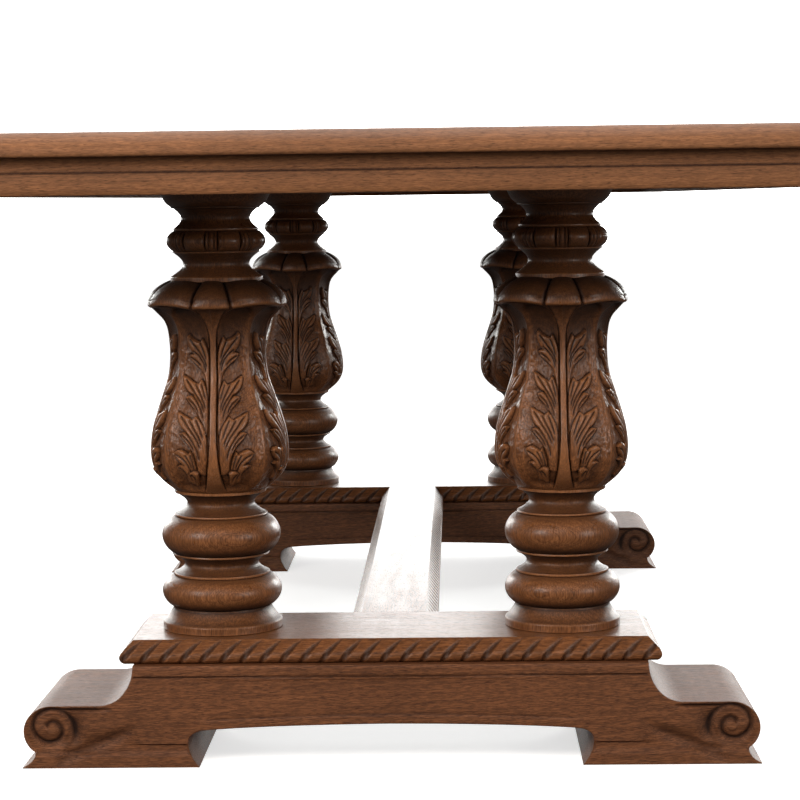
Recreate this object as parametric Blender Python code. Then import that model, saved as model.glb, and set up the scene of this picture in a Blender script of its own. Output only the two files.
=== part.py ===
"""Communion table: a moulded rectangular top on two trestles joined by a flat stretcher.

Frame: origin on the floor under the middle of the top, +Y along the table's length, +X across it,
+Z up. Metres throughout. Each trestle is a scrolled sled foot, a plinth board with a nosed edge and two
turned columns; the front trestle is the one at -Y.
"""

import math

import bmesh
import bpy
from mathutils import Vector

# ---------------------------------------------------------------- driving dimensions
GAP = 0.0003                 # clearance between neighbouring pieces

TOP_LENGTH = 2.200           # along Y
TOP_WIDTH = 1.040            # across X
TOP_HEIGHT = 0.788           # floor to the top surface
BOARD_THICK = 0.030          # upper boards and rails
BAND_DEPTH = 0.045           # edge band below the rails
RAIL_WIDTH = 0.095           # mitred rail round the boards
BAND_WIDTH = 0.052           # inset of the mitred band's inner face
BOARD_COUNT = 5

COLUMN_X = 0.2207            # column axis, each side of the middle
TRESTLE_Y = 0.772            # trestle centre line, each side of the middle
COLUMN_SEGMENTS = 20

PLINTH_TOP = 0.158           # floor to the plinth's upper face
PLINTH_THICK = 0.029
PLINTH_HALF_X = 0.3235       # flat part, before the nosing
PLINTH_HALF_Y = 0.093
STRETCHER_HALF_X = 0.0430    # flat part, before the nosing

SLED_HALF_X = 0.463
SLED_HALF_Y = 0.118
SLED_TOP = PLINTH_TOP - PLINTH_THICK - GAP
SLED_SHOULDER_X = 0.322      # where the sled's upper face ends and the cove begins
SLED_COVE = 0.043            # the cove's reach along X
FOOT_TOP = 0.079             # upper face of the foot, between the cove and the scroll
ARCH_TOP = 0.054             # crown of the arch between the pads

BEARER_THICK = 0.038
BEARER_HALF_X = 0.455
BEARER_HALF_Y = 0.075

TENON_RADIUS = 0.025
TENON_TOP_LENGTH = 0.024
TENON_FOOT_LENGTH = 0.060    # through the plinth and into the sled
BOLT_RADIUS = 0.006
BOLT_REACH = 0.070           # bolt tip above the plinth's upper face
WASHER_RADIUS = 0.015
COUNTERBORE_RADIUS = 0.0165
COUNTERBORE_TOP = 0.068      # ceiling of the counterbore, above the floor
SCREW_RADIUS = 0.0025
DOWEL_RADIUS = 0.005
DOWEL_LENGTH = 0.050
FIXING_SEGMENTS = 12

BOARD_BOTTOM = TOP_HEIGHT - BOARD_THICK
BAND_BOTTOM = BOARD_BOTTOM - BAND_DEPTH
BEARER_TOP = BOARD_BOTTOM - GAP
BEARER_BOTTOM = BEARER_TOP - BEARER_THICK
COLUMN_TOP = BEARER_BOTTOM - GAP

# Top rail: a quarter-round thumbnail rising from its nose to the top surface.
RAIL_NOSE_HEIGHT = 0.0045
THUMBNAIL_WIDTH = 0.037

# Edge band, insets from the outermost line of the rail: a swelled face, a fillet and a cove.
BAND_FACE_INSET = 0.0100
BAND_SWELL = 0.0032
BAND_FACE_TOP = -0.0175
BAND_FILLET_INSET = 0.0128
COVE_LOW = -0.0150
COVE_DEEP_INSET = 0.0148
COVE_LIP_INSET = 0.0046

# Nosing round the plinths and along the stretcher: a 45 degree slope into a round.
NOSE_REACH = 0.0160
NOSE_RADIUS = 0.0087

# Scroll at the sled's ends, an ellipse, and the pad under it.
SCROLL_X, SCROLL_Z = 0.4255, 0.0465
SCROLL_RX, SCROLL_RZ = 0.0350, 0.0325
FOOT_NECK = (0.4462, 0.0185)
PAD_INNER_X = 0.2400
PAD_NECK = (0.2535, 0.0310)
ARCH_SPRING = (0.2310, 0.0472)

# Vase of the column, as (height above the plinth, radius) from its lowest ring to the lip.
VASE_CURVE = [
    (0.1800, 0.0575), (0.1960, 0.0758), (0.2120, 0.0845), (0.2340, 0.0866), (0.2640, 0.0822),
    (0.3000, 0.0708), (0.3300, 0.0618), (0.3560, 0.0594), (0.3860, 0.0625), (0.4180, 0.0860),
]


# ---------------------------------------------------------------- profiles
def arc(cx, cy, rx, ry, start, end, steps):
    """Points of an ellipse from one angle to another, in degrees."""
    points = []
    for k in range(steps + 1):
        angle = math.radians(start + (end - start) * k / steps)
        points.append((cx + rx * math.cos(angle), cy + ry * math.sin(angle)))
    return points


def bezier(start, control, end, steps):
    """Points of a quadratic curve after its start point."""
    points = []
    for k in range(1, steps + 1):
        t = k / steps
        a, b, c = (1.0 - t) ** 2, 2.0 * t * (1.0 - t), t * t
        points.append(tuple(a * s + b * m + c * e for s, m, e in zip(start, control, end)))
    return points


def rail_profile():
    """(inset, height above the board's lower face) of the thumbnail rail."""
    rise = BOARD_THICK - RAIL_NOSE_HEIGHT
    low = arc(0.0032, RAIL_NOSE_HEIGHT, 0.0032, RAIL_NOSE_HEIGHT - GAP, 270.0, 180.0, 3)
    return low + arc(THUMBNAIL_WIDTH, RAIL_NOSE_HEIGHT, THUMBNAIL_WIDTH, rise, 180.0, 90.0, 8)[1:]


def band_profile():
    """(inset, height above the board's lower face) of the edge band."""
    middle = (BAND_FACE_TOP - BAND_DEPTH) / 2.0
    half = (BAND_FACE_TOP + BAND_DEPTH) / 2.0
    face = arc(BAND_FACE_INSET, middle, BAND_SWELL, half, 270.0, 90.0, 8)
    fillet = [(BAND_FILLET_INSET, BAND_FACE_TOP), (BAND_FILLET_INSET, COVE_LOW)]
    width = COVE_DEEP_INSET - COVE_LIP_INSET
    cove = arc(COVE_LIP_INSET, COVE_LOW, width, -COVE_LOW, 0.0, 90.0, 6)
    return face + fillet + cove


def nose_profile():
    """(distance out from the flat, drop) of the nosing."""
    centre_out, centre_drop = NOSE_REACH - NOSE_RADIUS, PLINTH_THICK - NOSE_RADIUS
    rounded = arc(centre_out, centre_drop, NOSE_RADIUS, NOSE_RADIUS, -45.0, 90.0, 5)
    return [(0.0, 0.0)] + rounded + [(0.0, PLINTH_THICK)]


def moulding(start, end, bulge, steps, power=1.0):
    """(height, radius) points after start of a bead (bulge > 0) or a neck (bulge < 0)."""
    points = []
    for k in range(1, steps + 1):
        t = 0.5 - 0.5 * math.cos(math.pi * k / steps)
        swell = bulge * math.sin(math.pi * min(t, 1.0 - 1e-9)) ** power if k < steps else 0.0
        points.append((start[0] + (end[0] - start[0]) * t, start[1] + (end[1] - start[1]) * t + swell))
    return points


def column_profile():
    """(height above the plinth, radius) of the turned column, from its foot ring to its cap."""
    p = [(0.0000, 0.0751), (0.0100, 0.0751), (0.0255, 0.0625), (0.0290, 0.0605)]
    p += moulding(p[-1], (0.0690, 0.0600), 0.0151, 5, 0.6)       # lower torus
    p += [(0.0695, 0.0580), (0.0725, 0.0580)]
    p += moulding(p[-1], (0.0950, 0.0580), -0.0115, 3)
    p += [(0.0980, 0.0582)]
    p += moulding(p[-1], (0.1455, 0.0575), 0.0166, 5, 0.6)       # upper torus
    p += [(0.1485, 0.0570)]
    p += moulding(p[-1], (0.1760, 0.0560), -0.0139, 4)
    p += VASE_CURVE
    p += moulding(p[-1], (0.4480, 0.0575), 0.0050, 3)            # petal ring above the lip
    p += [(0.4530, 0.0575)]
    p += moulding(p[-1], (0.4840, 0.0533), -0.0137, 4)
    p += moulding(p[-1], (0.5120, 0.0525), 0.0093, 4, 0.8)       # bead
    p += [(0.5135, 0.0520)]
    p += moulding(p[-1], (0.5395, 0.0520), -0.0091, 4)
    p += [(0.5410, 0.0555), (0.5485, 0.0616), (COLUMN_TOP - PLINTH_TOP - GAP, 0.0700)]
    return p


# ---------------------------------------------------------------- helpers
def clear_scene():
    for old in list(bpy.data.objects):
        bpy.data.objects.remove(old, do_unlink=True)


def make_material(name, colour, roughness, metallic=0.0):
    material = bpy.data.materials.new(name)
    material.use_nodes = True
    shader = material.node_tree.nodes["Principled BSDF"]
    shader.inputs["Base Color"].default_value = (*colour, 1.0)
    shader.inputs["Roughness"].default_value = roughness
    shader.inputs["Metallic"].default_value = metallic
    material.diffuse_color = (*colour, 1.0)
    return material


def new_object(name, bm, material, smooth_degrees=None):
    """Turn a bmesh into a named object with outward faces and its material."""
    bmesh.ops.remove_doubles(bm, verts=bm.verts, dist=1e-6)
    bmesh.ops.recalc_face_normals(bm, faces=bm.faces)
    mesh = bpy.data.meshes.new(name)
    bm.to_mesh(mesh)
    bm.free()
    if material is not None:
        mesh.materials.append(material)
    if smooth_degrees is not None:
        mesh.shade_smooth()
        mesh.set_sharp_from_angle(angle=math.radians(smooth_degrees))
    obj = bpy.data.objects.new(name, mesh)
    bpy.context.scene.collection.objects.link(obj)
    return obj


def box(name, low, high, material):
    bm = bmesh.new()
    bmesh.ops.create_cube(bm, size=1.0)
    low, high = Vector(low), Vector(high)
    size = high - low
    for v in bm.verts:
        v.co = low + Vector(((v.co.x + 0.5) * size.x, (v.co.y + 0.5) * size.y, (v.co.z + 0.5) * size.z))
    return new_object(name, bm, material)


def prism(name, outline, start, end, axis, material):
    """Extrude a closed outline: (x, z) pairs along Y, or (x, y) pairs along Z."""
    bm = bmesh.new()

    def place(pair, level):
        return (pair[0], level, pair[1]) if axis == "Y" else (pair[0], pair[1], level)

    face = bm.faces.new([bm.verts.new(place(pair, start)) for pair in outline])
    extruded = bmesh.ops.extrude_face_region(bm, geom=[face])
    shift = Vector((0.0, end - start, 0.0)) if axis == "Y" else Vector((0.0, 0.0, end - start))
    moved = [item for item in extruded["geom"] if isinstance(item, bmesh.types.BMVert)]
    bmesh.ops.translate(bm, vec=shift, verts=moved)
    return new_object(name, bm, material)


def revolve(name, profile, segments, material, smooth_degrees=35.0):
    """Turn (radius, z) points about Z; points on the axis close the ends, or the profile is a ring."""
    bm = bmesh.new()
    rings = []
    for radius, z in profile:
        if radius < 1e-7:
            rings.append([bm.verts.new((0.0, 0.0, z))])
            continue
        ring = []
        for k in range(segments):
            angle = 2.0 * math.pi * k / segments
            ring.append(bm.verts.new((radius * math.cos(angle), radius * math.sin(angle), z)))
        rings.append(ring)
    closed = profile[0][0] > 1e-7 and profile[-1][0] > 1e-7
    pairs = list(zip(rings, rings[1:]))
    if closed:
        pairs.append((rings[-1], rings[0]))
    for lower, upper in pairs:
        for k in range(segments):
            j = (k + 1) % segments
            corners = [lower[k % len(lower)], lower[j % len(lower)]]
            corners += [upper[j % len(upper)], upper[k % len(upper)]]
            distinct = []
            for corner in corners:
                if corner not in distinct:
                    distinct.append(corner)
            bm.faces.new(distinct)
    return new_object(name, bm, material, smooth_degrees)


def cutter(name, profile, location, segments=FIXING_SEGMENTS, along_y=False):
    """A hidden turned solid whose shape is cut from other pieces."""
    tool = revolve(name, profile, segments, None, None)
    tool.location = location
    if along_y:
        tool.rotation_euler = (math.radians(90.0), 0.0, 0.0)
    tool.hide_render = True
    tool.display_type = "WIRE"
    return tool


def cut(obj, tool):
    modifier = obj.modifiers.new("Cut " + tool.name, "BOOLEAN")
    modifier.operation = "DIFFERENCE"
    modifier.solver = "EXACT"
    modifier.object = tool


def rod_profile(radius, low, high):
    return [(0.0, low), (radius, low), (radius, high), (0.0, high)]


def mitred_bar(name, profile, inner, along_axis, side, material):
    """One side of the mitred frame round the top, as long as that side.

    profile holds (inset from the outer line, height above the boards' lower face) points, and inner
    is the inset of the bar's inner face; along_axis is the axis the bar runs along.
    """
    half_along, out_to = TOP_WIDTH / 2.0, TOP_LENGTH / 2.0
    if along_axis == "Y":
        half_along, out_to = out_to, half_along
    low_z = min(z for _, z in profile)
    high_z = max(z for _, z in profile)
    section = list(profile) + [(inner, high_z), (inner, low_z)]
    bm = bmesh.new()
    ends = []
    for sign in (-1.0, 1.0):
        ring = []
        for inset, z in section:
            along = sign * (half_along - inset - GAP * 0.75)
            across = side * (out_to - inset)
            x, y = (across, along) if along_axis == "Y" else (along, across)
            ring.append(bm.verts.new((x, y, BOARD_BOTTOM + z)))
        ends.append(ring)
    count = len(section)
    for k in range(count):
        j = (k + 1) % count
        bm.faces.new([ends[0][k], ends[0][j], ends[1][j], ends[1][k]])
    bm.faces.new(ends[0])
    bm.faces.new(list(reversed(ends[1])))
    return new_object(name, bm, material)


# ---------------------------------------------------------------- the top
def build_top(wood):
    sides = (("left", "Y", -1.0), ("right", "Y", 1.0), ("front", "X", -1.0), ("rear", "X", 1.0))
    for name, along_axis, side in sides:
        mitred_bar("top_rail_" + name, rail_profile(), RAIL_WIDTH, along_axis, side, wood)
        mitred_bar("edge_band_" + name, band_profile(), BAND_WIDTH, along_axis, side, wood)

    field_x = TOP_WIDTH / 2.0 - RAIL_WIDTH - GAP
    field_y = TOP_LENGTH / 2.0 - RAIL_WIDTH - GAP
    pitch = 2.0 * field_x / BOARD_COUNT
    boards = []
    for k in range(BOARD_COUNT):
        low_x = -field_x + pitch * k + (GAP / 2.0 if k else 0.0)
        high_x = -field_x + pitch * (k + 1) - (GAP / 2.0 if k < BOARD_COUNT - 1 else 0.0)
        low, high = (low_x, -field_y, BOARD_BOTTOM), (high_x, field_y, TOP_HEIGHT)
        boards.append(box("top_board_%d" % (k + 1), low, high, wood))
    return boards, pitch


def build_bearers(boards, pitch, wood, steel):
    """Cross bearers on the column tops, each screwed up into every board."""
    head_z = BEARER_BOTTOM + 0.012
    tip_z = BOARD_BOTTOM + 0.018
    screw_profile = [
        (0.0, head_z), (0.0044, head_z), (SCREW_RADIUS, head_z + 0.0026), (SCREW_RADIUS, tip_z - 0.004),
        (0.0, tip_z),
    ]
    hole_profile = [
        (0.0, BEARER_BOTTOM - 0.002), (0.0050, BEARER_BOTTOM - 0.002), (0.0050, head_z + 0.0003),
        (SCREW_RADIUS + GAP, head_z + 0.0036), (SCREW_RADIUS + GAP, tip_z - 0.004), (0.0, tip_z + 0.001),
    ]
    for label, y in (("front", -TRESTLE_Y), ("rear", TRESTLE_Y)):
        low = (-BEARER_HALF_X, y - BEARER_HALF_Y, BEARER_BOTTOM)
        high = (BEARER_HALF_X, y + BEARER_HALF_Y, BEARER_TOP)
        bearer = box("bearer_" + label, low, high, wood)
        for k, board in enumerate(boards):
            x = pitch * (k - (BOARD_COUNT - 1) / 2.0)
            screw_y = y + (0.045 if k % 2 else -0.045)
            tag = "%s_%d" % (label, k + 1)
            screw = revolve("bearer_screw_" + tag, screw_profile, FIXING_SEGMENTS, steel)
            screw.location = (x, screw_y, 0.0)
            hole = cutter("cut_screw_" + tag, hole_profile, (x, screw_y, 0.0))
            cut(bearer, hole)
            cut(board, hole)
        for sign in (-1.0, 1.0):
            socket_top = COLUMN_TOP + TENON_TOP_LENGTH + 0.001
            socket = rod_profile(TENON_RADIUS + GAP, BEARER_BOTTOM - 0.002, socket_top)
            place = (sign * COLUMN_X, y, 0.0)
            cut(bearer, cutter("cut_socket_%s_%d" % (label, sign), socket, place, COLUMN_SEGMENTS))


# ---------------------------------------------------------------- the trestles
def column_outline():
    """Closed (radius, z) ring of a column: bolt bore, foot tenon, turned profile and top tenon."""
    foot = PLINTH_TOP + GAP
    bore_radius = BOLT_RADIUS + GAP
    tenon_low = PLINTH_TOP - TENON_FOOT_LENGTH
    points = [(0.0, PLINTH_TOP + BOLT_REACH + 0.002), (bore_radius, PLINTH_TOP + BOLT_REACH + 0.001)]
    points += [(bore_radius, tenon_low), (TENON_RADIUS, tenon_low), (TENON_RADIUS, foot)]
    points += [(radius, foot + z) for z, radius in column_profile()]
    points += [(TENON_RADIUS, COLUMN_TOP), (TENON_RADIUS, COLUMN_TOP + TENON_TOP_LENGTH)]
    points += [(0.0, COLUMN_TOP + TENON_TOP_LENGTH)]
    return points


def build_plinth(label, y, inward, wood):
    """Board with a nosing all round, notched at a mitre where the stretcher's nosing meets it."""
    bm = bmesh.new()
    rings = []
    for out, drop in nose_profile():
        ring = []
        for sx, sy in ((-1, -1), (1, -1), (1, 1), (-1, 1)):
            corner = (sx * (PLINTH_HALF_X + out), y + sy * (PLINTH_HALF_Y + out), PLINTH_TOP - drop)
            ring.append(bm.verts.new(corner))
        rings.append(ring)
    for upper, lower in zip(rings, rings[1:]):
        for k in range(4):
            j = (k + 1) % 4
            bm.faces.new([upper[k], lower[k], lower[j], upper[j]])
    bm.faces.new(rings[0])
    bm.faces.new(list(reversed(rings[-1])))
    plinth = new_object("plinth_" + label, bm, wood)

    reach = 0.022
    flat_y = y + inward * PLINTH_HALF_Y
    half = STRETCHER_HALF_X + GAP
    notch = [(-half, flat_y), (half, flat_y)]
    notch += [(half + reach, flat_y + inward * reach), (-half - reach, flat_y + inward * reach)]
    if inward < 0:
        notch.reverse()
    tool = prism("cut_notch_" + label, notch, PLINTH_TOP - 0.04, PLINTH_TOP + 0.01, "Z", None)
    tool.hide_render = True
    tool.display_type = "WIRE"
    cut(plinth, tool)
    return plinth


def sled_outline():
    """Closed (x, z) outline of a sled: upper face, coves, foot tops, scrolls, pads and arch."""
    foot_x = SLED_SHOULDER_X + SLED_COVE
    right = arc(foot_x, SLED_TOP, SLED_COVE, SLED_TOP - FOOT_TOP, 180.0, 270.0, 8)
    right += arc(SCROLL_X, SCROLL_Z, SCROLL_RX, SCROLL_RZ, 90.0, -48.0, 11)
    right += [FOOT_NECK]
    right += bezier(FOOT_NECK, (FOOT_NECK[0] + 0.0010, 0.0085), (SLED_HALF_X, 0.0), 4)
    inner_tip = (PAD_INNER_X, 0.0)
    right += [inner_tip]
    right += bezier(inner_tip, (PAD_NECK[0], 0.0160), PAD_NECK, 4)
    right += bezier(PAD_NECK, (PAD_NECK[0], 0.0455), ARCH_SPRING, 5)
    right += bezier(ARCH_SPRING, (0.1500, 0.0530), (0.0, ARCH_TOP), 6)
    return right + [(-x, z) for x, z in reversed(right[:-1])]


def build_trestle(label, y, inward, wood, steel):
    plinth = build_plinth(label, y, inward, wood)
    sled = prism("sled_" + label, sled_outline(), y - SLED_HALF_Y, y + SLED_HALF_Y, "Y", wood)
    sled.data.shade_smooth()
    sled.data.set_sharp_from_angle(angle=math.radians(35.0))

    outline = column_outline()
    head_low = COUNTERBORE_TOP - 0.003 - 0.0075
    bolt_tip = PLINTH_TOP + BOLT_REACH
    bolt_profile = [
        (0.0, head_low), (0.0095, head_low), (0.0095, COUNTERBORE_TOP - 0.003 - GAP),
        (BOLT_RADIUS, COUNTERBORE_TOP - 0.003 - GAP), (BOLT_RADIUS, bolt_tip - 0.010), (0.0, bolt_tip),
    ]
    washer_profile = [
        (BOLT_RADIUS + GAP, COUNTERBORE_TOP - 0.003), (WASHER_RADIUS, COUNTERBORE_TOP - 0.003),
        (WASHER_RADIUS, COUNTERBORE_TOP - GAP), (BOLT_RADIUS + GAP, COUNTERBORE_TOP - GAP),
    ]
    mortise_low = PLINTH_TOP - TENON_FOOT_LENGTH - GAP
    mortise_profile = [
        (0.0, 0.030), (COUNTERBORE_RADIUS, 0.030), (COUNTERBORE_RADIUS, COUNTERBORE_TOP),
        (BOLT_RADIUS + GAP, COUNTERBORE_TOP), (BOLT_RADIUS + GAP, mortise_low),
        (TENON_RADIUS + GAP, mortise_low), (TENON_RADIUS + GAP, PLINTH_TOP + 0.010),
        (0.0, PLINTH_TOP + 0.010),
    ]
    for side, x in (("left", -COLUMN_X), ("right", COLUMN_X)):
        tag = "%s_%s" % (label, side)
        column = revolve("column_" + tag, outline, COLUMN_SEGMENTS, wood)
        column.location = (x, y, 0.0)
        bolt = revolve("column_bolt_" + tag, bolt_profile, FIXING_SEGMENTS, steel)
        bolt.location = (x, y, 0.0)
        washer = revolve("column_washer_" + tag, washer_profile, FIXING_SEGMENTS, steel)
        washer.location = (x, y, 0.0)
        mortise = cutter("cut_mortise_" + tag, mortise_profile, (x, y, 0.0), COLUMN_SEGMENTS)
        cut(plinth, mortise)
        cut(sled, mortise)
    return plinth


# ---------------------------------------------------------------- the stretcher
def build_stretcher(plinths, wood):
    """Flat bar with a nosing on both long edges, mitred to the plinths' nosings and dowelled."""
    end_y = TRESTLE_Y - PLINTH_HALF_Y - GAP
    right = [(STRETCHER_HALF_X + out, PLINTH_TOP - drop) for out, drop in nose_profile()]
    section = right + [(-x, z) for x, z in reversed(right)]
    bm = bmesh.new()
    ends = []
    for sign in (-1.0, 1.0):
        ring = []
        for x, z in section:
            out = abs(x) - STRETCHER_HALF_X
            ring.append(bm.verts.new((x, sign * (end_y - out), z)))
        ends.append(ring)
    count = len(section)
    half = len(right)
    for k in range(count):
        j = (k + 1) % count
        bm.faces.new([ends[0][k], ends[0][j], ends[1][j], ends[1][k]])
    for ring in ends:
        bm.faces.new(ring[:half])
        bm.faces.new(ring[half:])
        bm.faces.new([ring[0], ring[half - 1], ring[half], ring[-1]])
    stretcher = new_object("stretcher", bm, wood)

    level = PLINTH_TOP - PLINTH_THICK / 2.0
    half_length = DOWEL_LENGTH / 2.0
    for label, plinth, sign in (("front", plinths[0], -1.0), ("rear", plinths[1], 1.0)):
        for side, x in (("left", -0.022), ("right", 0.022)):
            tag = "%s_%s" % (label, side)
            place = (x, sign * (end_y + GAP), level)
            profile = rod_profile(DOWEL_RADIUS, -half_length, half_length)
            dowel = revolve("stretcher_dowel_" + tag, profile, FIXING_SEGMENTS, wood)
            dowel.location = place
            dowel.rotation_euler = (math.radians(90.0), 0.0, 0.0)
            hole_profile = rod_profile(DOWEL_RADIUS + GAP, -half_length - 0.001, half_length + 0.001)
            hole = cutter("cut_dowel_" + tag, hole_profile, place, FIXING_SEGMENTS, True)
            cut(stretcher, hole)
            cut(plinth, hole)


# ---------------------------------------------------------------- assembly
def main():
    clear_scene()
    wood = make_material("wood", (0.165, 0.058, 0.022), 0.32)
    top_wood = make_material("top_wood", (0.210, 0.082, 0.030), 0.30)
    steel = make_material("steel", (0.46, 0.46, 0.45), 0.40, 1.0)

    boards, pitch = build_top(top_wood)
    build_bearers(boards, pitch, wood, steel)
    front = build_trestle("front", -TRESTLE_Y, 1.0, wood, steel)
    rear = build_trestle("rear", TRESTLE_Y, -1.0, wood, steel)
    build_stretcher((front, rear), wood)


main()
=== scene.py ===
import math

import bpy
import numpy as np
from mathutils import Matrix, Vector
from mathutils.geometry import delaunay_2d_cdt


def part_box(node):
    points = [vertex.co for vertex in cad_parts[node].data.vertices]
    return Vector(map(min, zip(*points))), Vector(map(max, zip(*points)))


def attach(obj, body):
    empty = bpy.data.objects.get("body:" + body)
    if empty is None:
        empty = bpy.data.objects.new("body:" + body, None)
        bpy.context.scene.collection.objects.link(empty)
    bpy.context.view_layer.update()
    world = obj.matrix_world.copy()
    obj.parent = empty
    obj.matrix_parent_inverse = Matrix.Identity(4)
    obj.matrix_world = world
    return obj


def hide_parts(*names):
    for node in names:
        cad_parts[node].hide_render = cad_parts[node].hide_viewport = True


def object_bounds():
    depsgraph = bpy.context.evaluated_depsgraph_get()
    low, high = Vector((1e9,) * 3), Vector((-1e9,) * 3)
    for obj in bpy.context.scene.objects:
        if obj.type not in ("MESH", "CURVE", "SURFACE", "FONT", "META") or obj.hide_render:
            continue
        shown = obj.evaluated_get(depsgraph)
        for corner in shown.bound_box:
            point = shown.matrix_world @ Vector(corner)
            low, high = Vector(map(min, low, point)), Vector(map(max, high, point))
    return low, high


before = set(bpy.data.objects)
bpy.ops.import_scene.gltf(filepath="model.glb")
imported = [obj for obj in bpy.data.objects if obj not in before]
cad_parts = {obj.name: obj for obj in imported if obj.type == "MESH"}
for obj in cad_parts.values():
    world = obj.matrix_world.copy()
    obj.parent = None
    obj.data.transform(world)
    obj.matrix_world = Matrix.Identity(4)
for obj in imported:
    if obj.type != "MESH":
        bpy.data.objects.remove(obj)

# The looks of the communion table: carved and moulded meshes that stand in for the CAD pieces, then their
# materials, the light and the camera. Lengths are in metres unless a comment says mm.
cad_low, cad_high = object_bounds()
MM = 0.001

# ---------- where the pieces are
PLINTH_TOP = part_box("plinth_front")[1].z
SLED_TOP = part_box("sled_front")[1].z
stretcher_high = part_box("stretcher")[1]
TOP_Z = cad_high.z
HALF_X, HALF_Y = cad_high.x, cad_high.y


def centre_of(node):
    low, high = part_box(node)
    return 0.5 * (low + high)


# ---------- small maths
def unit(value):
    return np.clip(value, 0.0, 1.0)


def smooth(edge0, edge1, value):
    t = unit((value - edge0) / (edge1 - edge0))
    return t * t * (3.0 - 2.0 * t)


def bell(value, width):
    return np.exp(-((value / width) ** 2))


def arc(cx, cy, rx, ry, start, end, steps):
    """Points on an ellipse, from one angle to another in degrees."""
    a = np.radians(np.linspace(start, end, steps + 1))
    return [(cx + rx * math.cos(t), cy + ry * math.sin(t)) for t in a]


def bezier(start, control, end, steps):
    out = []
    for k in range(1, steps + 1):
        t = k / steps
        a, b, c = (1 - t) ** 2, 2 * t * (1 - t), t * t
        out.append(tuple(a * p + b * q + c * r for p, q, r in zip(start, control, end)))
    return out


def curve_through(points, per_segment):
    """Smooth Catmull-Rom curve through 2-D points."""
    p = np.array([points[0]] + list(points) + [points[-1]], float)
    out = [tuple(p[1])]
    for k in range(1, len(p) - 2):
        for j in range(1, per_segment + 1):
            t = j / per_segment
            a, b, c, d = p[k - 1], p[k], p[k + 1], p[k + 2]
            cubic = (2 * a - 5 * b + 4 * c - d) * t ** 2 + (3 * b - a - 3 * c + d) * t ** 3
            out.append(tuple(0.5 * (2 * b + (c - a) * t + cubic)))
    return out


def resample(points, step):
    """Points along a polyline, keeping every corner given and adding more between them."""
    out = [points[0]]
    for a, b in zip(points, points[1:]):
        length = math.hypot(b[0] - a[0], b[1] - a[1])
        count = max(1, int(round(length / step)))
        for k in range(1, count + 1):
            t = k / count
            out.append((a[0] + (b[0] - a[0]) * t, a[1] + (b[1] - a[1]) * t))
    return out


def value_noise(x, y, cell, seed):
    """Smooth repeatable noise in -1..1 over a plane."""
    gx, gy = x / cell, y / cell
    ix, iy = np.floor(gx).astype(np.int64), np.floor(gy).astype(np.int64)
    fx, fy = gx - ix, gy - iy
    fx, fy = fx * fx * (3 - 2 * fx), fy * fy * (3 - 2 * fy)

    def corner(i, j):
        h = (i * 374761393 + j * 668265263 + seed * 982451653) & 0xFFFFFFFF
        h = ((h ^ (h >> 13)) * 1274126177) & 0xFFFFFFFF
        return ((h ^ (h >> 16)) & 0xFFFF) / 32767.5 - 1.0

    a, b = corner(ix, iy), corner(ix + 1, iy)
    c, d = corner(ix, iy + 1), corner(ix + 1, iy + 1)
    return (a * (1 - fx) + b * fx) * (1 - fy) + (c * (1 - fx) + d * fx) * fy


# ---------- mesh building
def place_object(name, data):
    obj = bpy.data.objects.new(name, data)
    bpy.context.scene.collection.objects.link(obj)
    return obj


class Build:
    """Collects vertices and faces, with a painted shade value and a value for rubbed wear with painted
    highlight (each 0..1) at each vertex.
    """

    def __init__(self):
        self.verts, self.faces, self.cavity, self.wear, self.count = [], [], [], [], 0

    def add(self, co, faces, cavity=None, wear=None):
        """Adds points, and faces given as rows of indices into them."""
        co = np.asarray(co, float).reshape(-1, 3)
        self.verts.append(co)
        for values, given in ((self.cavity, cavity), (self.wear, wear)):
            values.append(np.zeros(len(co)) if given is None else np.asarray(given, float).reshape(-1))
        self.faces += [np.atleast_2d(face) + self.count for face in faces]
        self.count += len(co)

    def grid(self, co, wrap=False, cavity=None, wear=None, flip=False):
        """co is (rows, columns, 3); wrap joins the last column to the first."""
        rows, cols = co.shape[:2]
        index = np.arange(rows * cols).reshape(rows, cols)
        cur, nxt = (index, np.roll(index, -1, axis=1)) if wrap else (index[:, :-1], index[:, 1:])
        quads = np.stack([cur[:-1], nxt[:-1], nxt[1:], cur[1:]], axis=-1).reshape(-1, 4)
        self.add(co, [quads[:, ::-1] if flip else quads], cavity, wear)

    def finish(self, node, grain, slot, material, sharp):
        """Makes the piece that stands in for a CAD node.

        grain is a 3x4 array that takes a point to the timber's axes: x and y across the rings, z along the
        fibres. sharp is the angle in degrees from which an edge is shaded as one."""
        name = "visual_" + node
        co = np.concatenate(self.verts)
        sizes = np.concatenate([np.full(len(f), f.shape[1]) for f in self.faces])
        corners = np.concatenate([f.ravel() for f in self.faces])
        mesh = bpy.data.meshes.new(name)
        mesh.vertices.add(len(co))
        mesh.vertices.foreach_set("co", co.astype(np.float32).ravel())
        mesh.loops.add(len(corners))
        mesh.loops.foreach_set("vertex_index", corners.astype(np.int32))
        mesh.polygons.add(len(sizes))
        mesh.polygons.foreach_set("loop_start", (np.cumsum(sizes) - sizes).astype(np.int32))
        mesh.update(calc_edges=True)
        mesh.validate()
        for label, data in (("cavity", self.cavity), ("wear", self.wear)):
            layer = mesh.attributes.new(label, "FLOAT", "POINT")
            layer.data.foreach_set("value", np.concatenate(data).astype(np.float32))
        layer = mesh.attributes.new("grain", "FLOAT_VECTOR", "POINT")
        layer.data.foreach_set("vector", (co @ grain[:, :3].T + grain[:, 3]).astype(np.float32).ravel())
        mesh.materials.append(material)
        mesh.shade_smooth()
        mesh.set_sharp_from_angle(angle=math.radians(sharp))
        obj = place_object(name, mesh)
        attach(obj, "root")
        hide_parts(node)


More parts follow.
